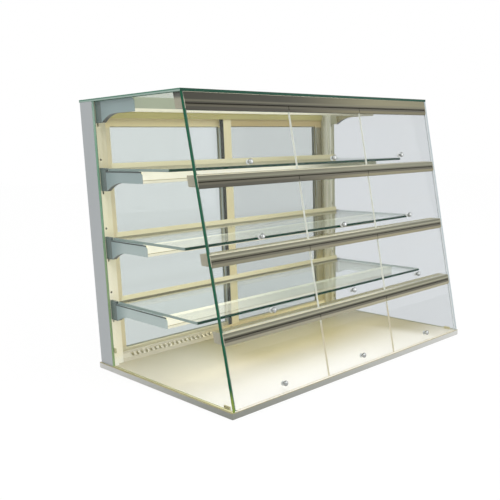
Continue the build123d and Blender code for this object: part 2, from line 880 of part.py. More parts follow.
foot_clip_centre_y = flap_plane_y(base_height) + foot_clip_behind_flap + foot_clip_length / 2
with BuildPart() as side_glass_clips:
    for side in (-1, 1):
        clip_x = side * (glass_inner_x - clip_thickness / 2)
        with BuildSketch(Plane.XZ.offset(-post_front_y)):
            with Locations((clip_x, clip_centre)):
                RectangleRounded(clip_thickness, clip_height, clip_corner)
        extrude(amount=clip_depth)
        with BuildSketch(Plane.XY.offset(base_height)):
            with Locations((clip_x, foot_clip_centre_y)):
                RectangleRounded(clip_thickness, foot_clip_length, clip_corner)
        extrude(amount=foot_clip_height)
side_glass_clips.part.label = "side_glass_clips"
export_step(side_glass_clips.part, "parts/side_glass_clips.step")

# ----------------------------------------------------------------------------------------
# Sliding doors: the right one runs on the front track, the left one behind it
# ----------------------------------------------------------------------------------------

door_height = door_top_z - door_bottom_z
window_height = door_height - door_top_rail - door_bottom_rail
window_centre_z = door_bottom_z + door_bottom_rail + window_height / 2
for side, side_name, door_front_y in ((-1, "left", rear_door_y), (1, "right", front_door_y)):
    outer_edge = side * (opening_half - door_side_clearance)
    door_centre_x = outer_edge - side * door_width / 2
    window_width = door_width - 2 * door_stile
    with BuildPart() as door_frame:
        with BuildSketch(Plane.XZ.offset(-door_front_y)):
            with Locations((door_centre_x, door_bottom_z + door_height / 2)):
                Rectangle(door_width, door_height)
            with Locations((door_centre_x, window_centre_z)):
                Rectangle(window_width, window_height, mode=Mode.SUBTRACT)
        extrude(amount=-door_thickness)
        front_face = door_frame.faces().sort_by(Axis.Y)[0]
        chamfer(front_face.inner_wires()[0].edges(), door_edge_break)
        with BuildSketch(Plane.XZ.offset(-door_front_y - (door_thickness - door_glass_thickness) / 2)):
            with Locations((door_centre_x, window_centre_z)):
                Rectangle(window_width + 2 * door_glass_bite, window_height + 2 * door_glass_bite)
        extrude(amount=-door_glass_thickness, mode=Mode.SUBTRACT)
        with BuildSketch(Plane.XZ.offset(-door_front_y - door_thickness)):
            with Locations((outer_edge - side * door_stile / 2, window_centre_z)):
                SlotOverall(grip_length, grip_width, rotation=90)
        extrude(amount=grip_depth, mode=Mode.SUBTRACT)
    door_frame.part.label = f"{side_name}_door_frame"
    export_step(door_frame.part, f"parts/{side_name}_door_frame.step")

    with BuildPart() as door_glass:
        with BuildSketch(Plane.XZ.offset(-door_front_y - (door_thickness - door_glass_thickness) / 2)):
            with Locations((door_centre_x, window_centre_z)):
                Rectangle(window_width + 2 * door_glass_bite, window_height + 2 * door_glass_bite)
        extrude(amount=-door_glass_thickness)
    door_glass.part.label = f"{side_name}_door_glass"
    export_step(door_glass.part, f"parts/{side_name}_door_glass.step")
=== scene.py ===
# %% [markdown]
# # A countertop bread display
# The object is a glazed cabinet that stands on a bakery counter. Its front leans back and has
# four tiers of clear flaps, hinged on fixed rails. Three glass shelves rest on brackets, and
# two sliding doors close the rear. The solids come in as a fixed frame, which gives every
# place and size. This lesson adds what solids cannot show: glass with polished edges, turned
# knobs, seals, and a surface for every metal, plastic and paint.

# %% Load the frame
import json
import math
import bmesh
import bpy
from mathutils import Matrix, Vector


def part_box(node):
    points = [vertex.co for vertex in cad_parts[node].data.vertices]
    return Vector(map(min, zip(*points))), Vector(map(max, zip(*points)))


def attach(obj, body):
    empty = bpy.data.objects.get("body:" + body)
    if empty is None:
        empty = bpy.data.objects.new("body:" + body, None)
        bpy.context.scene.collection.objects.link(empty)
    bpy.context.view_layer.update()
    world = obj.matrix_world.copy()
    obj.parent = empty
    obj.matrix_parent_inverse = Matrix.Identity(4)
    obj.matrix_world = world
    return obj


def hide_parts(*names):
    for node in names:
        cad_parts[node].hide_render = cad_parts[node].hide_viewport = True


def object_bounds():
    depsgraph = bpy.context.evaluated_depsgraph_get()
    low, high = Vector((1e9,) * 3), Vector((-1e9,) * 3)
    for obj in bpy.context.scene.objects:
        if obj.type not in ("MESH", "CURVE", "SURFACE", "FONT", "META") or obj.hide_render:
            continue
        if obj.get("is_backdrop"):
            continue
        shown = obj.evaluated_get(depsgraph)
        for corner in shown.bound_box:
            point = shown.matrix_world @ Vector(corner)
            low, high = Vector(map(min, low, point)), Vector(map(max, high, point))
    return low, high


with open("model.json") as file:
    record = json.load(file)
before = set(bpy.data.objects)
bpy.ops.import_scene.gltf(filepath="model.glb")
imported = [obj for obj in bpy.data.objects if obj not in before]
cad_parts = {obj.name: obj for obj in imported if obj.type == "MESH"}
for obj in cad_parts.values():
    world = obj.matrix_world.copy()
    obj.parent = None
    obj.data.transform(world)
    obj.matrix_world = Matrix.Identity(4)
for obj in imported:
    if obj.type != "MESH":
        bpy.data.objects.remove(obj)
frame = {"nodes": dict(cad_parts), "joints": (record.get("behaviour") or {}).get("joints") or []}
cad_low, cad_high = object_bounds()
nodes = frame["nodes"]
print(f"{len(nodes)} nodes in a box of {[round(v, 4) for v in cad_high - cad_low]} m")

# %% [markdown]
# ## Shader maths
# A material is a tree of small nodes. Wiring it by hand takes many lines, so one class wraps
# an output socket: arithmetic on it adds Math nodes, and one method adds any other node. The
# reflected forms let a plain number stand on the left, as in `1 - mask`.

# %% The wire class
class Wire:
    """An output socket that Python arithmetic works on. With no socket it is a bare tree."""

    def __init__(self, tree, socket=None):
        self.tree = tree
        self.socket = socket

    def node(self, kind, settings=None, inputs=None, output=0):
        """Adds a node, makes its settings, feeds its inputs, and wraps one of its outputs."""
        made = self.tree.nodes.new(f"ShaderNode{kind}")
        for name, value in (settings or {}).items():
            setattr(made, name, value)
        for name, value in (inputs or {}).items():
            if isinstance(value, Wire):
                self.tree.links.new(value.socket, made.inputs[name])
            else:
                made.inputs[name].default_value = value
        return Wire(self.tree, made.outputs[output] if made.outputs else None)

    def maths(self, operation, *values):
        """A Math node on this wire's tree."""
        return self.node("Math", {"operation": operation}, dict(enumerate(values)))

    def __add__(self, other):
        return self.maths("ADD", self, other)

    def __sub__(self, other):
        return self.maths("SUBTRACT", self, other)

    def __rsub__(self, other):
        return self.maths("SUBTRACT", other, self)

    def __mul__(self, other):
        return self.maths("MULTIPLY", self, other)

    def __pow__(self, other):
        return self.maths("POWER", self, other)

    def __gt__(self, other):
        return self.maths("GREATER_THAN", self, other)

    def __lt__(self, other):
        return self.maths("LESS_THAN", self, other)

    __radd__ = __add__
    __rmul__ = __mul__


print("helper made: Wire")

# %% [markdown]
# ## Colours and patterns
# Colours are easiest to pick as the 0 to 255 numbers of a screen, but shaders want light that
# adds up evenly, so each goes through the screen's curve on its way to a socket. Every pattern
# reads Object coordinates. A node's object sits at the origin, so those are metres on the
# cabinet, and a pattern stays on its piece when a flap or door moves.

# %% Helpers for colours
def linear(colour):
    """Socket value of a screen colour, whose three parts go from 0 to 255."""
    light = []
    for part in colour:
        part = part / 255
        light.append(part / 12.92 if part <= 0.04045 else ((part + 0.055) / 1.055) ** 2.4)
    return (*light, 1.0)


def mixed(factor, first, second):
    """Colour that goes from `first` to `second` with the factor. Each is a wire or a colour."""
    ends = [colour if isinstance(colour, Wire) else linear(colour) for colour in (first, second)]
    return factor.node("Mix", {"data_type": "RGBA"}, {0: factor, 6: ends[0], 7: ends[1]}, output=2)


print(f"a screen grey of 128 is {linear((128, 128, 128))[0]:.3f} in linear light")

# %% Helpers for patterns
def along(wire, axis):
    """One Object coordinate, in metres."""
    place = wire.node("TexCoord", output="Object")
    return wire.node("SeparateXYZ", inputs={"Vector": place}, output=axis)


def noise(wire, scale, stretch=(1.0, 1.0, 1.0), detail=3.0):
    """Noise from 0 to 1. A large stretch on an axis packs the pattern along that axis."""
    place = wire.node("TexCoord", output="Object")
    place = wire.node("Mapping", inputs={"Vector": place, "Scale": stretch})
    return wire.node(
        "TexNoise", inputs={"Vector": place, "Scale": scale, "Detail": detail}, output="Fac"
    )


def ramp(value, start, end):
    """0 below start, 1 above end, and a smooth rise between them."""
    return value.node(
        "MapRange", {"interpolation_type": "SMOOTHSTEP"},
        {"Value": value, "From Min": start, "From Max": end},
    )


def drifted(tint, tones):
    """A colour that drifts along an axis to each of (axis, start, end, far colour) in turn."""
    for axis, start, end, far_colour in tones:
        tint = mixed(ramp(along(tint, axis), start, end), tint, far_colour)
    return tint


def bumped(height, distance, strength):
    """Normal of a surface that stands up to `distance` metres proud where the height is 1."""
    return height.node(
        "Bump", inputs={"Height": height, "Distance": distance, "Strength": strength}
    )


print("helpers made: along, noise, ramp, drifted, bumped")

# %% [markdown]
# ## From sockets to a finish
# A finish is a material made from a function that gets a bare wire and returns the sockets that
# vary over the surface. What is the same all over goes straight onto the shader.

# %% Helpers that make a finish
def emptied(owner):
    """Bare wire on the emptied node tree of a new material or world."""
    owner.use_nodes = True
    owner.node_tree.nodes.clear()
    return Wire(owner.node_tree)


def finish(name, varied, plain=None):
    """New material: `varied` returns what varies, and `plain` holds what is the same all over."""
    material = bpy.data.materials.new(name)
    bare = emptied(material)
    shader = bare.node("BsdfPrincipled", inputs=varied(bare) | (plain or {}))
    bare.node("OutputMaterial", inputs={"Surface": shader})
    return material


print(f"{len(bpy.data.materials)} plain materials came with the frame")

# %% [markdown]
# ## Painted steel
# The tray, the brackets and the top bar are sheet steel, sprayed with satin enamel. It dries
# with a faint orange peel: soft bumps about a millimetre apart and a slightly uneven gloss.
# Two noises of different scale give both, and a thin coat on top gives the wet look.

# %% Painted finishes
half_width = 0.55
half_depth = 0.34
enamel_coat = {"Coat Weight": 0.15, "Coat Roughness": 0.2}


def enamelled(tint):
    """Sockets of satin enamel in a tint, with orange peel."""
    peel = noise(tint, 900.0, detail=2.0)
    return {
        "Base Color": tint,
        "Roughness": 0.36 + 0.12 * noise(tint, 30.0),
        "Normal": bumped(peel, 0.00012, 0.35),
    }


def painted(name, colour, shade, tones=()):
    """Enamel that wanders between two close colours."""

    def varied(bare):
        cloud = noise(bare, 9.0, detail=4.0)
        return enamelled(drifted(mixed(cloud, colour, shade), tones))

    return finish(name, varied, enamel_coat)


def band_varied(bare):
    """Grey enamel that is paler towards the rear right corner."""
    away = (along(bare, "X") + half_width) * 0.62 + (along(bare, "Y") + half_depth)
    toward_rear_right = ramp(away, -0.14, 0.90)
    return enamelled(mixed(toward_rear_right, (126, 128, 119), (206, 206, 202)))


def bracket_varied(bare):
    """Blue-grey enamel with painted light and shade: paler low and on the right, tan at the top
    right, dark at roots and underneath.
    """
    # painted light makes the arms paler towards the lower tiers, and painted shade darkens their
    # roots
    lower_tier_light = ramp(along(bare, "Z"), 0.80, 0.20)
    arm = mixed(lower_tier_light, (141, 160, 162), (181, 195, 194))
    root_shade = ramp(along(bare, "Y"), 0.15, 0.23)
    left = mixed(root_shade, arm, (128, 148, 149))
    # on the right the top bracket gets a tan of painted shade, and the lower ones a pale painted
    # light
    below_top = ramp(along(bare, "Z"), 0.70, 0.55)
    right = mixed(below_top, (168, 160, 124), (222, 229, 225))
    both = mixed(ramp(along(bare, "X"), -0.1, 0.1), left, right)
    # painted shade on the faces that look down
    facing = bare.node("NewGeometry", output="Normal")
    down_shade = bare.node("SeparateXYZ", inputs={"Vector": facing}, output="Z") * -1.0
    return enamelled(mixed(ramp(down_shade, 0.25, 0.5), both, (74, 78, 72)))


grey_enamel = finish("grey_enamel_band", band_varied, enamel_coat)
bracket_enamel = finish("bracket_enamel_blue_grey", bracket_varied, enamel_coat)
# The hook plates are dark grey enamel; the tan tone on the right side is painted light.
hook_enamel = painted(
    "hook_enamel_dark", (88, 103, 100), (80, 95, 93), tones=(("X", -0.1, 0.1, (178, 176, 150)),)
)
# The top bar is the same cream enamel as the other bars: its sage is painted shade, with a painted
# green reflection of the top glass.
top_bar_shade_enamel = painted("bar_enamel_top_shade", (184, 190, 166), (175, 181, 157))
print("four enamels made")

# %% [markdown]
# ## Anodised aluminium
# Posts, uprights, door frames, rails and strips are extruded, and keep the fine lines of the die,
# which run along the profile. Noise that is packed a few hundredfold across the profile gives
# those lines. A finish can drift along an axis to other tones, each with the place where it starts
# and ends. These tones, and the different colours that one film has on different parts, are
# painted light, shade and reflection.

# %% Helpers for anodised finishes
def die_lines(wire, run, pack=260.0):
    """Noise drawn out into fine lines along X (0), Y (1) or Z (2)."""
    stretch = [pack, pack, pack]
    stretch[run] = 1.2
    return noise(wire, 5.0, stretch, detail=4.0)


def anodised(name, colour, shade, run, metallic, tones=(), pack=260.0):
    """Anodised aluminium whose lines run along X (0), Y (1) or Z (2)."""

    def varied(bare):
        lines = die_lines(bare, run, pack)
        cloud = noise(bare, 5.0)
        tint = mixed(0.55 * lines + 0.45 * cloud, colour, shade)
        return {
            "Base Color": drifted(tint, tones),
            "Roughness": 0.26 + 0.16 * lines,
            "Normal": bumped(lines, 0.00008, 0.4),
        }

    return finish(name, varied, {"Metallic": metallic})


def cream(part, colour, shade, run, tones, pack=260.0):
    """Cream film, thick enough to hide the metal under it."""
    return anodised(f"cream_anodised_{part}", colour, shade, run, 0.0, tones, pack)


along_x, along_y, along_z = 0, 1, 2
post_finish = anodised("grey_anodised_post", (172, 176, 178), (164, 169, 171), along_z, 0.5)
print("posts are", post_finish.name)

# %% Finishes of the uprights
# Both uprights are one cream film, so their different colours and tones are painted light and
# shade: painted shade to the right of the right upright with a painted highlight strip at its
# inner edge, and painted light low on the left upright with painted shade near its top.
upright_pack = 70.0
right_upright_finish = cream(
    "upright", (255, 250, 228), (246, 238, 208), along_z,
    (
        ("X", -0.10, 0.30, (178, 174, 146)),
        ("X", 0.502, 0.518, (222, 220, 204)),
        ("X", 0.522, 0.532, (184, 180, 150)),
        ("Z", 0.30, 0.20, (212, 204, 160)),
    ),
    upright_pack,
)
left_upright_finish = cream(
    "left_upright", (246, 240, 211), (240, 234, 204), along_z,
    (
        ("Z", 0.42, 0.26, (255, 249, 227)),
        ("Z", 0.06, 0.02, (255, 254, 243)),
        ("Z", 0.56, 0.68, (222, 214, 182)),
    ),
    upright_pack,
)
print("upright finishes made")

# %% Finishes of the door frames
# Both door frames are one cream film, so their different colours and tones are painted light and
# shade: painted light on the rear door's top rail under the header, painted shade on the front
# door's right stile, top and lower part, and thin grey lines of painted shade at the stiles.
left_door_finish = cream(
    "left_door", (238, 227, 192), (230, 219, 182), along_z,
    (
        ("X", -0.45, 0.0, (232, 218, 168)),
        ("X", -0.0184, -0.0180, (184, 194, 194)),
        ("X", -0.0170, -0.0166, (232, 218, 168)),
        ("Z", 0.060, 0.052, (236, 229, 198)),
        ("Z", 0.770, 0.777, (255, 238, 184)),
    ),
)
right_door_finish = cream(
    "right_door", (240, 228, 184), (232, 220, 174), along_z,
    (
        ("X", 0.450, 0.460, (126, 120, 84)),
        ("X", 0.4622, 0.4626, (150, 160, 156)),
        ("X", 0.4650, 0.4656, (126, 120, 84)),
        ("Z", 0.30, 0.20, (196, 183, 118)),
        ("Z", 0.770, 0.777, (190, 168, 112)),
        ("Z", 0.060, 0.052, (208, 194, 144)),
        ("X", 0.020, 0.014, (238, 226, 182)),
    ),
)
print("door finishes made")

# %% Finishes of the header, the vent sill and the shelf strips
# The header, sill and strips are the same cream film as the uprights, so their warmer and darker
# colours and their tones along X and Z are painted light and shade.
header_pack = 60.0
header_finish = cream(
    "header", (204, 194, 128), (158, 146, 80), along_x, (("Z", 0.8215, 0.8235, (176, 171, 134)),),
    header_pack,
)
sill_finish = cream(
    "sill", (224, 218, 201), (216, 210, 190), along_x,
    (("X", -0.25, -0.02, (227, 211, 160)), ("X", 0.10, 0.35, (254, 242, 190))),
)
strip_tray_finish = cream(
    "shelf_strip", (234, 226, 190), (224, 216, 178), along_x, (("X", -0.1, 0.4, (206, 198, 156)),)
)
print("header, sill and strip finishes made")

# %% [markdown]
# ## Rails and hinge strips
# A rail's face has two facets. The kink between them gets a painted highlight, the recess below it
# painted shade, and the level top painted light from the bar behind it. So a rail's finish also
# follows the height above its hinge line, which the joint of its flaps gives.

# %% Helpers for rails and hinge strips
tiers = ("top", "upper", "middle", "lower")
hinges = {
    joint["child"]: Vector(joint["pos_m"])
    for joint in frame["joints"]
    if joint["child"].endswith("_flap")
}
hinge_heights = {tier: hinges[f"{tier}_left_flap"].z for tier in tiers}


def rail_finish(tier, left, right, recess_shade, kink_highlight):
    """Anodised rail with a painted reflection from end to end, painted shade in the recess, a
    painted highlight on the kink and painted light on the top.
    """
    rail_low, rail_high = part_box(f"{tier}_front_rail")
    crown = rail_high.z - hinge_heights[tier]
    ridge = 0.45 * rail_high.y + 0.55 * rail_low.y

    def varied(bare):
        lines = die_lines(bare, along_x)
        across = along(bare, "X")
        rise = along(bare, "Z") - hinge_heights[tier]
        # painted reflection: the face's tone changes from the left end to the right end
        face = mixed(ramp(across, -0.22, 0.30), left, right)
        face = mixed(0.3 * lines, face, recess_shade)
        # painted shade in the recess and a painted highlight on the kink
        recess_shade_mask = ramp(rise, 0.0095, 0.0070)
        kink_highlight_mask = ramp(rise, 0.0080, 0.0100) * ramp(rise, 0.0150, 0.0120)
        front = mixed(kink_highlight_mask * 0.7, mixed(recess_shade_mask * 0.8, face, recess_shade), kink_highlight)
        # painted light on the front of the level top, and painted shade behind its ridge
        behind = ramp(along(bare, "Y"), ridge - 0.004, ridge + 0.004)
        lit = mixed(ramp(across, 0.0, 0.40), (234, 228, 202), (160, 158, 136))
        top = mixed(behind, lit, (162, 154, 112))
        top_light_mask = ramp(rise, crown - 0.0008, crown - 0.0003)
        return {
            "Base Color": mixed(top_light_mask, front, top),
            "Roughness": 0.30 + 0.14 * lines,
            "Normal": bumped(lines, 0.00008, 0.4),
        }

    return finish(f"champagne_rail_{tier}", varied, {"Metallic": 0.5})


def strip_finish(tier, left, shade, right):
    """Anodised hinge strip with a tone at each end of the row, and painted shade where the rail
    hides it.
    """
    socket = hinge_heights[tier] - 0.005
    # painted shade inside the rail's socket
    hidden_shade = ("Z", socket, socket + 0.0015, (76, 73, 60))
    tones = (("X", -0.22, 0.2, right), hidden_shade)
    return anodised(f"champagne_strip_{tier}", left, shade, along_x, 0.5, tones)


print("hinge lines at", {tier: round(z, 4) for tier, z in hinge_heights.items()}, "m")

# %% Finishes of the rails and hinge strips
# Each row holds the face's left and right tones, the painted shade of the recess and the painted
# highlight of the kink. The rails are one extrusion, so the change from end to end and from tier
# to tier is painted light and reflection.
rail_tones = {
    "top": ((54, 53, 44), (122, 118, 92), (58, 56, 44), (98, 96, 80)),
    "upper": ((98, 98, 82), (116, 116, 98), (72, 70, 56), (112, 112, 96)),
    "middle": ((96, 96, 80), (92, 92, 76), (76, 74, 58), (140, 138, 120)),
    "lower": ((100, 100, 84), (104, 104, 84), (54, 52, 38), (138, 136, 118)),
}
rail_finishes = {tier: rail_finish(tier, *tones) for tier, tones in rail_tones.items()}
# The strips are one extrusion, so the change of their tones from tier to tier and from end to end
# is painted light and shade.
strip_tones = {
    "top": ((56, 54, 44), (53, 51, 42), (98, 93, 70)),
    "upper": ((60, 58, 47), (57, 55, 44), (110, 105, 82)),
    "middle": ((106, 103, 84), (101, 98, 80), (117, 111, 87)),
    "lower": ((130, 126, 107), (124, 120, 102), (136, 131, 109)),
}
strip_finishes = {tier: strip_finish(tier, *tones) for tier, tones in strip_tones.items()}
print(f"{len(rail_finishes)} rail finishes and {len(strip_finishes)} strip finishes")

# %% Bare metal
mill_finish = anodised("mill_aluminium_track", (222, 216, 186), (208, 202, 170), along_x, 0.3)
screw_finish = anodised("screw_steel", (150, 152, 152), (120, 122, 122), along_y, 1.0)


def chrome_varied(bare):
    """Chrome with faint clouds and the fine haze that fingers leave."""
    return {
        "Base Color": mixed(noise(bare, 60.0), (190, 192, 190), (138, 142, 142)),
        "Roughness": 0.10 + 0.08 * noise(bare, 400.0),
    }


chrome_finish = finish("knob_chrome", chrome_varied, {"Metallic": 1.0})
print("track, screw and knob finishes made")

# %% [markdown]
# ## The deck
# The deck is a cream sheet with a silky lacquer. It is palest near the flaps, where the bars light
# it, and painted shade deepens it to olive towards the vents; it is olive along its cut rim too.
# It could be one plain colour, but that would turn flat in other light. A cloth that wipes crumbs
# leaves dull trails.

# %% The deck's finish
rim_x = 0.5462
rim_y = -0.3382


def deck_varied(bare):
    """Cream lacquer with painted shade that deepens it to olive at the rear, with long wiping
    trails.
    """
    across = along(bare, "X")
    deep = along(bare, "Y")
    cloud = noise(bare, 7.0)
    pale = mixed(cloud, (253, 250, 246), (249, 246, 240))
    front = mixed(ramp(across, -0.1, 0.4), pale, (242, 238, 227))
    # the olive and the change to it towards the rear are painted shade
    olive = mixed(cloud, (177, 167, 128), (171, 161, 122))
    left_change = 0.62 * ramp(deep, -0.32, 0.0) + 0.38 * ramp(deep, 0.0, 0.7)
    right_change = ramp(deep + 0.12 * ramp(across, 0.36, 0.46), -0.31, 0.01)
    to_right = ramp(across, -0.35, -0.12)
    change = left_change + (right_change - left_change) * to_right
    # painted shade in the rear right corner
    rear_corner_shade = ramp(deep + across * 0.333 + 0.15, 0.25, 0.62)
    sheet = mixed(rear_corner_shade, mixed(change, front, olive), (152, 145, 116))
    reach = across.maths("ABSOLUTE", across)
    rim = reach.maths("MAXIMUM", reach > rim_x, deep < rim_y)
    trails = noise(bare, 14.0, (9.0, 1.0, 1.0), detail=5.0)
    return {
        "Base Color": mixed(rim, sheet, (166, 158, 118)),
        "Roughness": 0.34 + 0.14 * trails,
        "Normal": bumped(noise(bare, 1100.0, detail=2.0), 0.0001, 0.3),
    }


deck_finish = finish("deck_cream_lacquer", deck_varied)
print(f"the deck's finish has {len(deck_finish.node_tree.nodes)} nodes")

# %% [markdown]
# ## Plastics
# End caps, clips and plugs are moulded, so their skin has the fine texture of a mould that was
# eroded by sparks. Seals and brushes get the same skin in a rougher, darker form, because at
# their size only the roughness tells rubber from plastic.

# %% Plastic finishes
def moulded(name, colour, shade, roughness=0.5, tones=()):
    """Moulded plastic or rubber with a fine sparked skin."""

    def varied(bare):
        skin = noise(bare, 2600.0, detail=1.0)
        return {
            "Base Color": drifted(mixed(noise(bare, 40.0), colour, shade), tones),
            "Roughness": roughness - 0.05 + 0.1 * skin,
            "Normal": bumped(skin, 0.00006, 0.5),
        }

    return finish(name, varied)


cap_finish = moulded(
    "cap_plastic_beige", (174, 169, 150), (162, 156, 138),
    tones=(("Z", 0.828, 0.838, (98, 98, 90)),),
)
clip_finish = moulded("clip_plastic_olive", (196, 189, 152), (184, 177, 138))
# The dark pads, brush, carrier and seal are partly painted shade where they sit in the gaps, and
# the brown plugs are painted shade inside the holes.
pad_finish = moulded("pad_rubber", (70, 80, 78), (58, 68, 66), 0.7)
hole_shade_finish = moulded("plug_brown_hole_shade", (92, 84, 60), (78, 72, 50))
brush_finish = moulded("brush_carrier_grey", (170, 178, 174), (158, 166, 162), 0.6)
pile_finish = moulded("brush_pile_grey", (100, 103, 92), (84, 88, 80), 0.8)
seal_finish = moulded("seal_rubber", (74, 76, 68), (62, 64, 57), 0.75)
nut_finish = moulded("nut_nylon_white", (244, 246, 242), (232, 235, 232))
gasket_finish = moulded("gasket_grey", (186, 186, 166), (172, 172, 150), 0.6)
trim_finish = moulded("bar_trim_tan", (176, 168, 124), (164, 156, 112))
print("plastic and rubber finishes made")

# %% [markdown]
# ## Light bars
# Each bar is a folded housing with an opal acrylic strip under it. The lamp inside makes the strip
# glow, and the pale enamel catches some of it. A weak emission on top of the enamel's colour
# paints that glow and keeps the bar's shape readable. Painted shade dims the bars towards their
# right end, and the top bar's sage housing is painted shade.

# %% Finishes of the light bars
def diffuser_varied(bare):
    """Opal acrylic with painted shade that dims it towards the right end of a bar."""
    painted_dimming = ramp(along(bare, "X"), 0.05, 0.45)
    glow = mixed(painted_dimming, (255, 250, 226), (120, 114, 90))
    opal = mixed(noise(bare, 25.0), (214, 210, 190), (206, 202, 180))
    return {
        "Base Color": mixed(painted_dimming, opal, (150, 146, 124)),
        "Roughness": 0.4 + 0.1 * noise(bare, 200.0),
        "Emission Color": glow,
    }


diffuser_finish = finish("diffuser_opal", diffuser_varied, {"Emission Strength": 0.3})


def bar_finish(name, start, end, shaded_tint, shaded_glow):
    """Cream enamel with a painted glow, which painted shade dims to a shaded tint between two
    places along the bar.
    """

    def varied(bare):
        painted_dimming = ramp(along(bare, "X"), start, end)
        tint = mixed(noise(bare, 9.0), (252, 248, 228), (245, 241, 219))
        return {
            "Base Color": mixed(painted_dimming, tint, shaded_tint),
            "Roughness": 0.38 + 0.1 * noise(bare, 200.0),
            "Emission Color": mixed(painted_dimming, (250, 246, 228), shaded_glow),
        }

    # painted light: the enamel is no lamp, so its glow is painted
    return finish(name, varied, {"Emission Strength": 0.24})


# painted shade: the middle and lower bars dim towards the right, and the upper bar turns olive
# there
cream_bar_enamel = bar_finish("bar_enamel_cream", -0.45, 0.0, (200, 204, 186), (150, 148, 124))
upper_bar_shade_enamel = bar_finish("bar_enamel_upper_shade", 0.0, 0.32, (136, 138, 110), (60, 60, 44))
print("light bar finishes made")

# %% [markdown]
# ## Glass and acrylic
# A pane lets most light through, takes a little of it, and mirrors more the flatter it is
# seen. A glass shader refracts, but a dozen panes in a row would turn noisy and dark.
# So a face is a Transparent shader mixed with a glossy one. The factor follows Schlick's rule:
# 4% head on, rising with the fifth power of the facing value, the same from both sides.

# %% Finishes for clear faces
haze = 0.02


def clear(name, passes, mirror):
    """The face of a pane: `passes` is the share of light that goes through one surface."""
    material = bpy.data.materials.new(name)
    bare = emptied(material)
    facing = bare.node("LayerWeight", inputs={"Blend": 0.5}, output="Facing")
    shine = (0.04 + 0.96 * facing**5) * mirror
    smear = noise(bare, 11.0, (1.0, 1.0, 2.5), detail=5.0)
    through = bare.node("BsdfTransparent", inputs={"Color": (*passes, 1.0)})
    gloss = bare.node(
        "BsdfPrincipled",
        inputs={
            "Base Color": (0.95, 0.97, 0.97, 1.0),
            "Metallic": 1.0,
            "Roughness": haze / 2 + haze * smear,
        },
    )
    surface = bare.node("MixShader", inputs={0: shine, 1: through, 2: gloss})
    bare.node("OutputMaterial", inputs={"Surface": surface})
    return material


# The side, top and door panes are one float glass, so the darker passes of the right side pane and
# of the door panes are painted shade of what lies behind them.
left_side_face = clear("glass_face_left", (0.975, 0.98, 0.975), mirror=0.3)
right_side_face = clear("glass_face_right", (0.825, 0.84, 0.848), mirror=0.3)
top_face = clear("glass_face_top", (0.92, 0.945, 0.93), mirror=0.5)
shelf_face = clear("glass_face_shelf", (0.98, 0.99, 0.98), mirror=0.75)
left_door_face = clear("glass_face_left_door", (0.79, 0.82, 0.815), mirror=0.4)
right_door_face = clear("glass_face_right_door", (0.72, 0.745, 0.735), mirror=0.4)
flap_face = clear("acrylic_face_flap", (0.972, 0.975, 0.980), mirror=0.2)
print("seven clear faces made")

# %% [markdown]
# ## Polished edges
# At its edge a pane shows light that has run its whole width, so float glass turns a deep green
# and acrylic stays pale. The edge gets an opaque finish, whose tones paint what lies behind it,
# and a painted glow stands for the light that leaves the glass there.

# %% A helper for polished edges
def polished_edge(name, colour, shade, tones=(), glow=0.0):
    """The edge of a pane, with a painted glow of the strength `glow`."""

    def varied(bare):
        tint = drifted(mixed(noise(bare, 45.0, detail=3.0), colour, shade), tones)
        return {
            "Base Color": tint,
            "Roughness": 0.2 + 0.12 * noise(bare, 300.0),
            "Emission Color": tint,
        }

    return finish(name, varied, {"Specular IOR Level": 0.15, "Emission Strength": glow})


print("helper made: polished_edge")

# %% Edges of the side, top, shelf, door and flap panes
# Apart from the green of float glass, these colours and tones are painted: the right pane's grey
# edges, the pale rear and foot edges and the flaps' tones take the colour of what lies behind
# them, and the glows are painted light.
deep_edge = polished_edge(
    "glass_edge_side", (2, 84, 56), (0, 70, 46), tones=(("Z", 0.085, 0.045, (120, 140, 62)),)
)
grey_edge = polished_edge("glass_edge_side_right", (180, 189, 192), (166, 177, 180))
top_edge = polished_edge("glass_edge_top", (0, 70, 50), (0, 58, 40))
top_end = polished_edge(
    "glass_edge_top_end", (80, 128, 108), (66, 116, 96),
    tones=(("Z", 0.8535, 0.8515, (150, 172, 162)),),
)
shelf_edge = polished_edge("glass_edge_shelf", (6, 62, 44), (0, 48, 34))
shelf_end = polished_edge("glass_edge_shelf_end", (150, 166, 160), (136, 152, 148))
side_rear = polished_edge(
    "glass_edge_side_rear", (132, 156, 112), (120, 146, 104),
    tones=(("Z", 0.25, 0.60, (112, 152, 126)), ("Z", 0.70, 0.82, (146, 174, 158))), glow=0.45,
)
side_foot = polished_edge(
    "glass_edge_side_foot", (232, 228, 200), (224, 220, 190),
    tones=(("X", -0.5432, -0.5445, (190, 194, 120)), ("X", 0.5432, 0.5445, (190, 194, 120))),
    glow=0.45,
)
side_rear_right = polished_edge(
    "glass_edge_side_rear_right", (176, 172, 138), (166, 162, 128), glow=0.3
)
door_edge = polished_edge("glass_edge_door", (96, 132, 116), (80, 116, 100))
flap_edge = polished_edge(
    "acrylic_edge_flap", (230, 232, 224), (220, 223, 214),
    tones=(
        ("Z", 0.20, 0.16, (214, 207, 186)),
        ("Z", 0.04, 0.01, (232, 227, 210)),
        ("X", -0.525, -0.530, (104, 132, 116)),
        ("X", 0.525, 0.530, (196, 205, 208)),
    ),
)
print("edge finishes made")

# %% [markdown]
# ## Dressing the frame
# The solids that already have the right shape keep it, and only get their finish. Their
# material slots could be set one by one, but a table shows at a glance what is made of what.

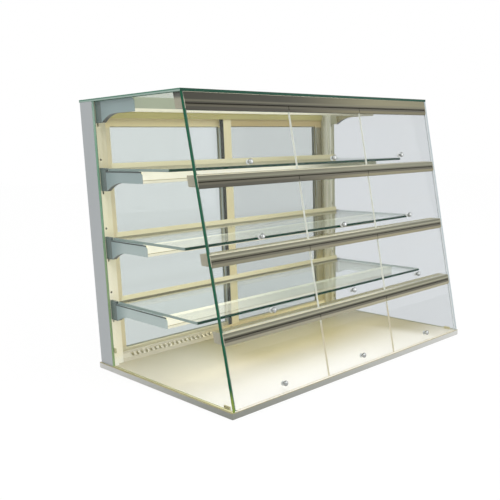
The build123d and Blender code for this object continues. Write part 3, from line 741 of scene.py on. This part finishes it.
# %% Give each solid its finish
dressing = {
    grey_enamel: ["base_tray"],
    deck_finish: ["deck_sheet"],
    mill_finish: ["base_stiffeners", "top_door_track", "bottom_door_track"],
    post_finish: ["left_post", "right_post"],
    left_upright_finish: ["left_upright"],
    right_upright_finish: ["right_upright"],
    left_door_finish: ["left_door_frame"],
    right_door_finish: ["right_door_frame"],
    header_finish: ["header_rail"],
    sill_finish: ["rear_vent_sill"],
    strip_tray_finish: ["shelf_rear_strips"],
    **{rail_finishes[tier]: [f"{tier}_front_rail"] for tier in tiers},
    cap_finish: ["rail_end_caps"],
    bracket_enamel: ["left_brackets", "right_brackets"],
    hook_enamel: ["bracket_hooks"],
    top_bar_shade_enamel: ["top_light_bar"],
    upper_bar_shade_enamel: ["upper_light_bar"],
    cream_bar_enamel: ["middle_light_bar", "lower_light_bar"],
    diffuser_finish: ["light_diffusers"],
    clip_finish: ["side_glass_clips"],
}
for material, names in dressing.items():
    for name in names:
        for slot in nodes[name].material_slots:
            slot.material = material
print(f"{sum(len(names) for names in dressing.values())} solids dressed")

# %% [markdown]
# ## From a bmesh to a piece
# Each new piece is shaped as a bmesh and then becomes an object at the origin, with its place
# in its mesh. It rides on the body that carries it, so that a pane follows its flap. Faces
# that meet at a shallow angle are shaded smooth, and the rest keep their crease.

# %% Helpers that make a piece
def placed(name, data):
    """New object of the scene."""
    made = bpy.data.objects.new(name, data)
    bpy.context.scene.collection.objects.link(made)
    return made


def meshed(name, shape, materials):
    """New object made from a bmesh, with its materials."""
    mesh = bpy.data.meshes.new(name)
    shape.to_mesh(mesh)
    shape.free()
    for material in materials:
        mesh.materials.append(material)
    return placed(name, mesh)


def piece(name, shape, materials, body, smooth=35.0):
    """Object with smooth shading that rides on a body."""
    made = meshed(name, shape, materials)
    made.data.shade_smooth()
    made.data.set_sharp_from_angle(angle=math.radians(smooth))
    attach(made, body)
    return made


print("helpers made: placed, meshed, piece")

# %% Helpers for blocks, rounded edges and extrusions
def add_block(shape, low, high):
    """Adds a closed box between two corners to a bmesh."""
    middle = (Vector(high) + Vector(low)) / 2
    size = Matrix.Diagonal((*(Vector(high) - Vector(low)), 1.0))
    bmesh.ops.create_cube(shape, size=1.0, matrix=Matrix.Translation(middle) @ size)


def block(low, high):
    """Bmesh of one closed box between two corners."""
    shape = bmesh.new()
    add_block(shape, low, high)
    return shape


def ease(shape, edges, width, segments=1):
    """Rounds some edges of a bmesh."""
    bmesh.ops.bevel(
        shape, geom=list(edges), offset=width, offset_type="OFFSET", affect="EDGES",
        segments=segments, profile=0.5, material=-1,
    )


def extruded(shape, faces, reach):
    """Extrudes faces by a vector, and turns all faces outwards."""
    sweep = bmesh.ops.extrude_face_region(shape, geom=faces)
    moved = [item for item in sweep["geom"] if isinstance(item, bmesh.types.BMVert)]
    bmesh.ops.translate(shape, vec=reach, verts=moved)
    bmesh.ops.recalc_face_normals(shape, faces=shape.faces)


print("helpers made: add_block, block, ease, extruded")

# %% [markdown]
# ## Glass panes
# A pane is a thin box whose sharp edges were ground to a small arris. A glass solid has sharp
# rims and one finish, so a pane of the same size replaces it. Its two largest faces take the
# clear finish, and every side of the rim takes an edge finish.

# %% A helper for panes
arris = 0.0007
mostly = 0.7


def rim_side(normal):
    """Which way a face of the rim looks: the ends, rear, foot or front."""
    if abs(normal.x) > mostly:
        return "ends"
    if normal.y > mostly:
        return "rear"
    return "foot" if normal.z < -mostly else "front"


def pane(name, shape, face_finish, edges, body, node):
    """Finished pane: its two largest faces are clear, and each side of its rim has its finish."""
    ranked = sorted(shape.faces, key=lambda face: face.calc_area())
    for face in ranked[:-2]:
        face.material_index = 1
    rim = [
        edge
        for edge in shape.edges
        if len({face.material_index for face in edge.link_faces}) == 2
    ]
    ease(shape, rim, arris)
    large = sorted(shape.faces, key=lambda face: face.calc_area())[-2:]
    kinds = list(edges)
    for face in shape.faces:
        side = rim_side(face.normal)
        face.material_index = 1 + (kinds.index(side) if side in kinds else 0)
    for face in large:
        face.material_index = 0
    made = piece(name, shape, [face_finish, *edges.values()], body, smooth=20.0)
    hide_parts(node)


print("helper made: pane")

# %% [markdown]
# The two side panes slope with the front. A block has no slope, so its top front corners are
# moved back to where the solid has them.

# %% Side and top panes
hair = 0.0001


def lean_front(shape, node):
    """Pulls the front corners of a pane back up the slope that its solid has."""
    corners = [vertex.co for vertex in nodes[node].data.vertices]
    roof = max(corner.z for corner in corners)
    front = min(corner.y for corner in corners if corner.z > roof - hair)
    for vertex in shape.verts:
        if vertex.co.z > roof - hair:
            vertex.co.y = max(vertex.co.y, front)


for side, face_finish, front, rear in (
    ("left", left_side_face, deep_edge, side_rear),
    ("right", right_side_face, grey_edge, side_rear_right),
):
    node = f"{side}_side_glass"
    shape = block(*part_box(node))
    lean_front(shape, node)
    edges = {"front": front, "rear": rear, "foot": side_foot}
    pane(f"{side}_side_pane", shape, face_finish, edges, "cabinet", node)

shape = block(*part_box("top_glass"))
edges = {"front": top_edge, "ends": top_end}
pane("top_pane", shape, top_face, edges, "cabinet", "top_glass")
print("side and top panes made")

# %% [markdown]
# A shelf has its front corners rounded, so that no one is scratched. The two upright edges
# there are rounded before the arris is cut, as a glazier would do it. A door pane sits in its
# frame, which hides its rim, so it needs only the arris.

# %% Shelf and door panes
shelf_tiers = tiers[1:]
shelf_corner = 0.005
for tier in shelf_tiers:
    node = f"{tier}_shelf_glass"
    low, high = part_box(node)
    shape = block(low, high)
    corners = [
        edge
        for edge in shape.edges
        if all(vertex.co.y < low.y + hair for vertex in edge.verts)
        and abs(edge.verts[0].co.x - edge.verts[1].co.x) < hair
    ]
    ease(shape, corners, shelf_corner, segments=4)
    edges = {"front": shelf_edge, "ends": shelf_end}
    pane(f"{tier}_shelf_pane", shape, shelf_face, edges, "cabinet", node)

for side, face_finish in (("left", left_door_face), ("right", right_door_face)):
    node = f"{side}_door_glass"
    edges = {"front": door_edge}
    shape = block(*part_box(node))
    pane(f"{side}_door_pane", shape, face_finish, edges, f"{side}_door", node)
print("shelf and door panes made")

# %% [markdown]
# ## Flaps
# All twelve flaps hang from a hinge line at the top of their tier. Each is modelled upright
# about that line, with Y into the cabinet and Z up, and one matrix then leans it back and
# moves it to its hinge.

# %% The flaps' own frame
lean = math.radians(10.6)
pane_half = 0.002
strip_height = 0.014
pane_bite = 0.0048


def onto_slope(shape, hinge):
    """Leans a bmesh back and moves it to a hinge line."""
    turn = Matrix.Translation((0.0, hinge.y, hinge.z)) @ Matrix.Rotation(-lean, 4, "X")
    bmesh.ops.transform(shape, matrix=turn, verts=shape.verts)


def foot_of(node, hinge):
    """Height of a pane's foot in the flap's frame, below zero."""
    return (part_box(node)[0].z - hinge.z + pane_half * math.sin(lean)) / math.cos(lean)


print(f"the flaps lean back by {math.degrees(lean):.1f} degrees")

# %% Flap panes
places = [f"{tier}_{column}" for tier in tiers for column in ("left", "centre", "right")]
for place in places:
    flap = f"{place}_flap"
    node = f"{flap}_pane"
    low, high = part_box(node)
    foot = foot_of(node, hinges[flap])
    shape = block((low.x, -pane_half, foot), (high.x, pane_half, pane_bite - strip_height))
    onto_slope(shape, hinges[flap])
    pane(f"{flap}_acrylic", shape, flap_face, {"front": flap_edge}, flap, node)
print(f"{len(places)} flap panes made")

# %% [markdown]
# ## Hinge strips and knobs
# The strip is one extrusion: a round bead on a short neck, and a slot that grips the pane.
# Spinning one point about the hinge line draws the bead, a few straight runs close the
# section, and extruding that face gives the strip, as the die does.

# %% The strip's section
bead_radius = 0.0032
bead_steps = 22
strip_back = 0.0034
neck_back = 0.0008
shoulder = 0.0065


def spun(shape, line, centre, axis, angle, steps, merge):
    """Spins a line of points round an axis through the centre."""
    bmesh.ops.spin(
        shape, geom=line, cent=centre, axis=axis, dvec=(0.0, 0.0, 0.0), angle=angle, steps=steps,
        use_merge=merge, use_normal_flip=False, use_duplicate=False,
    )


def strip_shape(left, right):
    """Bmesh of a hinge strip from left to right, about the hinge line."""
    shape = bmesh.new()
    start = shape.verts.new((left, -bead_radius, 0.0))
    neck_turn = 2 * math.pi - math.acos(neck_back / bead_radius)
    spun(shape, [start], (left, 0.0, 0.0), (-1.0, 0.0, 0.0), neck_turn, bead_steps, merge=False)
    outline = list(shape.verts)
    for out, rise in (
        (neck_back, -shoulder),
        (-strip_back, -shoulder),
        (-strip_back, -strip_height),
        (-pane_half, -strip_height),
        (-pane_half, pane_bite - strip_height),
        (pane_half, pane_bite - strip_height),
        (pane_half, -strip_height),
        (bead_radius, -strip_height),
    ):
        outline.append(shape.verts.new((left, -out, rise)))
    extruded(shape, [shape.faces.new(outline)], (right - left, 0.0, 0.0))
    return shape


print(f"bead {2000 * bead_radius:.1f} mm across on a strip {1000 * strip_height:.0f} mm high")

# %% [markdown]
# The knob is turned from brass and chromed, and a white nylon nut holds it from behind. Half
# of each outline is spun about its axis, as on a lathe. A plain sphere would lack the waist
# that fingers find behind the knob's edge.

# %% The knob's outline
knob_rise = 0.027
knob_reach = 0.009
knob_outline = (
    (0.0, 0.0120), (0.0030, 0.0119), (0.0055, 0.0113), (0.0072, 0.0101),
    (0.0080, 0.0086), (0.0080, 0.0066), (0.0074, 0.0054), (0.0060, 0.0049),
    (0.0046, 0.0042), (0.0042, 0.0026), (0.0044, 0.0010), (0.0052, 0.0), (0.0028, 0.0),
)
nut_outline = (
    (0.0028, 0.0), (0.0072, 0.0), (0.0074, 0.0012), (0.0064, 0.0026), (0.0036, 0.0034),
    (0.0, 0.0036),
)
print(f"knob {2000 * max(radius for radius, _ in knob_outline):.0f} mm across")

# %% A lathe
weld = 0.00001
lathe_steps = 28


def turned(shape, outline, face, inward, x, z):
    """Spins an outline of (radius, distance from the pane) pairs into a bmesh."""
    made = [shape.verts.new((x + radius, face + inward * away, z)) for radius, away in outline]
    line = [shape.edges.new(pair) for pair in zip(made, made[1:])]
    whole = 2 * math.pi
    spun(shape, made + line, (x, 0.0, z), (0.0, 1.0, 0.0), whole, lathe_steps, merge=True)


def closed(shape):
    """Merges the poles that a lathe leaves open, and turns all faces outwards."""
    bmesh.ops.remove_doubles(shape, verts=shape.verts, dist=weld)
    bmesh.ops.recalc_face_normals(shape, faces=shape.faces)


print("helpers made: turned, closed")

# %% Strips and knobs for all flaps
for place in places:
    flap = f"{place}_flap"
    low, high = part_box(f"{flap}_pane")
    shape = strip_shape(low.x, high.x)
    knob_z = foot_of(f"{flap}_pane", hinges[flap]) + knob_rise
    middle = (low.x + high.x) / 2
    turned(shape, knob_outline, -pane_half, -1.0, middle, knob_z)
    turned(shape, nut_outline, pane_half, 1.0, middle, knob_z)
    closed(shape)
    for face in shape.faces:
        centre = face.calc_center_median()
        if centre.z < knob_z + knob_reach:
            face.material_index = 1 if centre.y < 0.0 else 2
    onto_slope(shape, hinges[flap])
    materials = [strip_finishes[place.split("_")[0]], chrome_finish, nut_finish]
    made = piece(f"{flap}_strip_and_knob", shape, materials, flap)
    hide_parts(f"{place}_hinge_strip_and_knob")
print(f"{len(places)} hinge strips with knobs made")

# %% [markdown]
# ## Small parts on the brackets and bars
# Each shelf rests on rubber that is folded over the top of its brackets, and whose dark lip shows
# along their outer face. That dark lip also paints the shadow between glass and bracket, so it is
# partly painted shade. A fine trim parts each bar's housing from its diffuser. Both are slender
# blocks with their edges eased.

# %% Rubber lips along the brackets
sides = ("left", "right")
lip_height = 0.0034
lip_proud = 0.0012
soft_edge = 0.0003
for side in sides:
    low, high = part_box(f"{side}_brackets")
    faces = (low.x - lip_proud, low.x) if side == "left" else (high.x, high.x + lip_proud)
    shape = bmesh.new()
    for tier in shelf_tiers:
        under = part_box(f"{tier}_shelf_glass")[0].z
        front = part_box(f"{tier}_light_bar")[0].y
        add_block(shape, (faces[0], front, under - lip_height), (faces[1], high.y, under))
    ease(shape, shape.edges, soft_edge)
    # the dark rubber lip is partly painted shade under each shelf
    piece(f"{side}_bracket_lips", shape, [pad_finish], "cabinet")
print(f"lips {1000 * lip_height:.1f} mm high made")

# %% Trims on the shelf bars
bar_height = 0.034
diffuser_rise = 0.0080
trim_height = 0.0016
trim_proud = 0.0004
trim_bite = 0.0002
fine_edge = 0.0002
shape = bmesh.new()
for tier in shelf_tiers:
    low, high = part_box(f"{tier}_light_bar")
    bottom = high.z - bar_height + diffuser_rise
    trim_low = (low.x, low.y - trim_proud, bottom)
    trim_high = (high.x, low.y + trim_bite, bottom + trim_height)
    add_block(shape, trim_low, trim_high)
ease(shape, shape.edges, fine_edge)
piece("shelf_bar_trims", shape, [trim_finish], "cabinet")
print(f"{len(shelf_tiers)} bar trims made")

# %% [markdown]
# ## Plugs and screws
# Dark brown plugs sit in the spare holes of the uprights, and pan-head screws hold the post covers
# from behind. The plugs' brown is painted shade, the dark inside the holes. They are small, but
# give the eye the scale. They are turned as the knobs are, and all of one kind form one piece.

# %% Plugs in the pilot holes
plug_outline = (
    (0.0, 0.0011), (0.0020, 0.0009), (0.0032, 0.0002), (0.0034, 0.0), (0.0022, 0.0),
    (0.0022, -0.0015), (0.0, -0.0015),
)
plug_x = 0.530
plug_rise = 0.026
plug_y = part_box("left_upright")[0].y
shape = bmesh.new()
for tier in shelf_tiers:
    hole_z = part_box(f"{tier}_shelf_glass")[1].z + plug_rise
    for x in (-plug_x, plug_x):
        turned(shape, plug_outline, plug_y, -1.0, x, hole_z)
closed(shape)
# painted shade: the brown plugs stand for the dark inside the holes
piece("upright_plugs", shape, [hole_shade_finish], "cabinet")
print(f"{2 * len(shelf_tiers)} plugs made")

# %% Screws down the rear of the posts
screw_outline = (
    (0.0, 0.0008), (0.0010, 0.0012), (0.0026, 0.0015), (0.0040, 0.0009), (0.0043, 0.0),
    (0.0, 0.0),
)
screw_heights = (0.06, 0.25, 0.44, 0.63, 0.81)
shape = bmesh.new()
for side in sides:
    low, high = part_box(f"{side}_post")
    for height in screw_heights:
        turned(shape, screw_outline, high.y, 1.0, (low.x + high.x) / 2, height)
closed(shape)
piece("post_screws", shape, [screw_finish], "cabinet")
print(f"{2 * len(screw_heights)} screws made")

# %% [markdown]
# ## Door seals
# A dark pile runs up the edge of the front door where the two doors pass, and keeps draught and
# flies out. The door behind has a brush there, in a grey carrier. Their dark and grey are partly
# painted shade, the shade where the doors overlap. Single hairs would be lost at this size, so the
# pile is a slim block, cut into short lengths by subdividing it.

# %% The pile on the front door
end_gap = 0.004
pile_depth = 0.0006
pile_front_gap = 0.0015
pile_rear_gap = 0.0005
pile_cuts = 60
tall_edge, tuft_edge = 0.1, 0.012
door_low, door_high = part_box("right_door_frame")
shape = block(
    (door_low.x - pile_depth, door_low.y + pile_front_gap, door_low.z + end_gap),
    (door_low.x, door_high.y - pile_rear_gap, door_high.z - end_gap),
)
tall = [edge for edge in shape.edges if edge.calc_length() > tall_edge]
bmesh.ops.subdivide_edges(shape, edges=tall, cuts=pile_cuts)
tufts = [edge for edge in shape.edges if edge.calc_length() > tuft_edge]
ease(shape, tufts, fine_edge, segments=2)
# the dark pile is partly painted shade on the door's edge
piece("door_pile_strip", shape, [seal_finish], "right_door")
print(f"pile {door_high.z - door_low.z - 2 * end_gap:.3f} m long made")

# %% The brush on the rear door
brush_proud = 0.0014
brush_inset = 0.035
carrier_width = 0.0085
brush_width = 0.012
rear_low, rear_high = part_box("left_door_frame")
carrier_left = rear_high.x - brush_inset
brush_left = carrier_left + carrier_width
# the brush and its grey carrier are partly painted shade beside the front door
for name, left, right, brush_part_finish in (
    ("carrier", carrier_left, brush_left, brush_finish),
    ("brush", brush_left, brush_left + brush_width, pile_finish),
):
    shape = block(
        (left, rear_low.y - brush_proud, rear_low.z + end_gap),
        (right, rear_low.y, rear_high.z - end_gap),
    )
    ease(shape, shape.edges, soft_edge)
    piece(f"left_door_{name}", shape, [brush_part_finish], "left_door")
print(f"brush {1000 * brush_width:.0f} mm wide made")

# %% [markdown]
# A soft gasket lines each door's window on both faces and holds the glass without a rattle.
# Four strips would have to be mitred to meet. So each gasket is one grid face, inset to a thin
# border and extruded, and its corners meet by themselves.

# %% Window gaskets
gasket_width = 0.0022
gasket_height = 0.0018
glass_bite = 0.008


def gasket(low, high, face_y, away):
    """Bmesh of a thin frame between two corners, which stands off a door's face."""
    shape = bmesh.new()
    bmesh.ops.create_grid(shape, x_segments=1, y_segments=1, size=0.5)
    upright = Matrix.Rotation(math.pi / 2, 3, "X")
    bmesh.ops.rotate(shape, matrix=upright, verts=shape.verts)
    bmesh.ops.scale(shape, vec=(high.x - low.x, 1.0, high.z - low.z), verts=shape.verts)
    centre = ((low.x + high.x) / 2, face_y, (low.z + high.z) / 2)
    bmesh.ops.translate(shape, vec=centre, verts=shape.verts)
    rim = bmesh.ops.inset_region(
        shape, faces=shape.faces, thickness=gasket_width, depth=0.0, use_boundary=True,
        use_even_offset=True,
    )
    window = [face for face in shape.faces if face not in rim["faces"]]
    bmesh.ops.delete(shape, geom=window, context="FACES")
    extruded(shape, list(shape.faces), (0.0, away * gasket_height, 0.0))
    return shape


for side in sides:
    door = f"{side}_door"
    glass_low, glass_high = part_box(f"{door}_glass")
    low = Vector((glass_low.x + glass_bite, 0.0, glass_low.z + glass_bite))
    high = Vector((glass_high.x - glass_bite, 0.0, glass_high.z - glass_bite))
    for facing, face_y, away in (("inner", glass_low.y, -1), ("outer", glass_high.y, 1)):
        shape = gasket(low, high, face_y, away)
        piece(f"{door}_{facing}_gasket", shape, [gasket_finish], door)
print("four window gaskets made")

# %% [markdown]
# ## The studio
# A white world and a wide pale floor light the cabinet evenly, and two soft lamps give it a
# brighter side. The camera, shiny metal and glass see a white floor that still shows the soft
# shadow under the cabinet. The light that it throws up is dimmer, as from a real counter, so
# undersides stay darker.

# %% The world
white = (1.0, 1.0, 1.0, 1.0)
world = bpy.data.worlds.new("white_studio")
bpy.context.scene.world = world
bare = emptied(world)
sky = bare.node("Background", inputs={"Color": white, "Strength": 1.0})
bare.node("OutputWorld", inputs={"Surface": sky})
print("world:", world.name)

# %% The floor
floor_radius = 14.0
floor_gap = 0.0005
floor_material = bpy.data.materials.new("pale_floor")
bare = emptied(floor_material)
eye, mirrored, through = (
    bare.node("LightPath", output=name)
    for name in ("Is Camera Ray", "Is Glossy Ray", "Is Transmission Ray")
)
# 1 for rays from the camera, from mirrors and through glass, and 0 for lighting rays
seen = eye.maths("MAXIMUM", eye.maths("MAXIMUM", eye, mirrored), through)
lit, looked_at = (0.55, 0.55, 0.54, 1.0), (0.95, 0.95, 0.95, 1.0)
pale = bare.node("Mix", {"data_type": "RGBA"}, {0: seen, 6: lit, 7: looked_at}, output=2)
matt = bare.node("BsdfDiffuse", inputs={"Color": pale})
bright = bare.node("Emission", inputs={"Color": white, "Strength": 1.0})
mix = bare.node("MixShader", inputs={0: seen * 0.9, 1: matt, 2: bright})
bare.node("OutputMaterial", inputs={"Surface": mix})

floor_shape = bmesh.new()
bmesh.ops.create_circle(floor_shape, cap_ends=True, segments=64, radius=floor_radius)
floor = meshed("studio_floor", floor_shape, [floor_material])
floor.location.z = -floor_gap
floor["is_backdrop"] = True
print(f"floor {2 * floor_radius:.0f} m across")

# %% Soft lamps
def area_lamp(name, place, turn, size, watts, colour=(1.0, 1.0, 1.0)):
    """A rectangular lamp of (width, depth) at a place, with a turn."""
    light = bpy.data.lights.new(name, "AREA")
    light.shape = "RECTANGLE"
    light.size, light.size_y = size
    light.energy = watts
    light.color = colour
    lamp = placed(name, light)
    lamp.location = place
    lamp.rotation_euler = turn
    return lamp


middle = (cad_low + cad_high) / 2
for name, place, width, watts in (
    ("key_lamp", Vector((-2.2, -2.6, 3.0)), 1.8, 38.0),
    ("fill_lamp", Vector((2.2, -2.6, 1.2)), 2.2, 26.0),
):
    turn = (middle - place).to_track_quat("-Z", "Y").to_euler()
    area_lamp(name, place, turn, (width, width), watts)
print("key and fill lamps made")

# %% [markdown]
# The bars light the cabinet from inside. A glowing diffuser alone would leave grain, so a
# long, thin lamp just below each one does the work. It is tilted, and hidden from mirrors so
# that no pane shows it twice.

# %% Lamps of the light bars
bar_watts = {"top": 0.8, "upper": 0.8, "middle": 0.9, "lower": 1.3}
bar_tilt = math.radians(-25)
warm_white = (1.0, 0.97, 0.91)
lamp_gap = 0.001
for tier in tiers:
    low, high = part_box(f"{tier}_light_bar")
    centre = (low + high) / 2
    place = (centre.x, centre.y, low.z - lamp_gap)
    size = (high.x - low.x, high.y - low.y)
    watts = bar_watts[tier]
    lamp = area_lamp(f"{tier}_bar_lamp", place, (bar_tilt, 0.0, 0.0), size, watts, warm_white)
    lamp.visible_glossy = False
print(f"{len(tiers)} bars lit with {sum(bar_watts.values()):.1f} W")

# %% [markdown]
# ## The camera
# The camera stands left of the cabinet, a little below its roof, and looks slightly down. Its
# turn is a yaw, a pitch and a roll. The lens and its shift are in pixels of a square frame,
# because that is how a lens is measured.

# %% Place the camera
frame_pixels = 500.0
focal_pixels = 688.76
axis_x, axis_y = 293.5, 291.4
place = (-1.6357, -1.6672, 0.7068)
yaw, pitch, roll = math.radians(44.924), math.radians(12.009), math.radians(-1.384)

ahead = Vector(
    (math.sin(yaw) * math.cos(pitch), math.cos(yaw) * math.cos(pitch), -math.sin(pitch))
)
level_right = Vector((math.cos(yaw), -math.sin(yaw), 0.0))
level_up = level_right.cross(ahead)
right = math.cos(roll) * level_right + math.sin(roll) * level_up
up = math.cos(roll) * level_up - math.sin(roll) * level_right
turn = Matrix((right, up, -ahead)).transposed().to_4x4()

lens = bpy.data.cameras.new("studio_camera")
lens.sensor_width = 36.0
lens.lens = lens.sensor_width * focal_pixels / frame_pixels
lens.shift_x = (frame_pixels / 2 - axis_x) / frame_pixels
lens.shift_y = (axis_y - frame_pixels / 2) / frame_pixels
camera = placed("studio_camera", lens)
camera.matrix_world = Matrix.Translation(place) @ turn
bpy.context.scene.camera = camera
print(f"lens {lens.lens:.1f} mm, shift {lens.shift_x:.3f}, {lens.shift_y:.3f}")

# %% [markdown]
# ## View and sizes
# A plain view transform shows each colour about as it is written. A ray meets many faces of
# glass on its way to the doors, so it may pass more of them than the default of 8. The sizes
# are written down last, to show that the looks stay in the solids' box.

# %% View settings
scene = bpy.context.scene
scene.view_settings.view_transform = "Standard"
scene.cycles.transparent_max_bounces = 48
scene.cycles.max_bounces = 16
scene.cycles.glossy_bounces = 6
print("clear faces that a ray may pass:", scene.cycles.transparent_max_bounces)

# %% Write the sizes and finish
low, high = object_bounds()
print("visual box", [round(v, 4) for v in high - low])
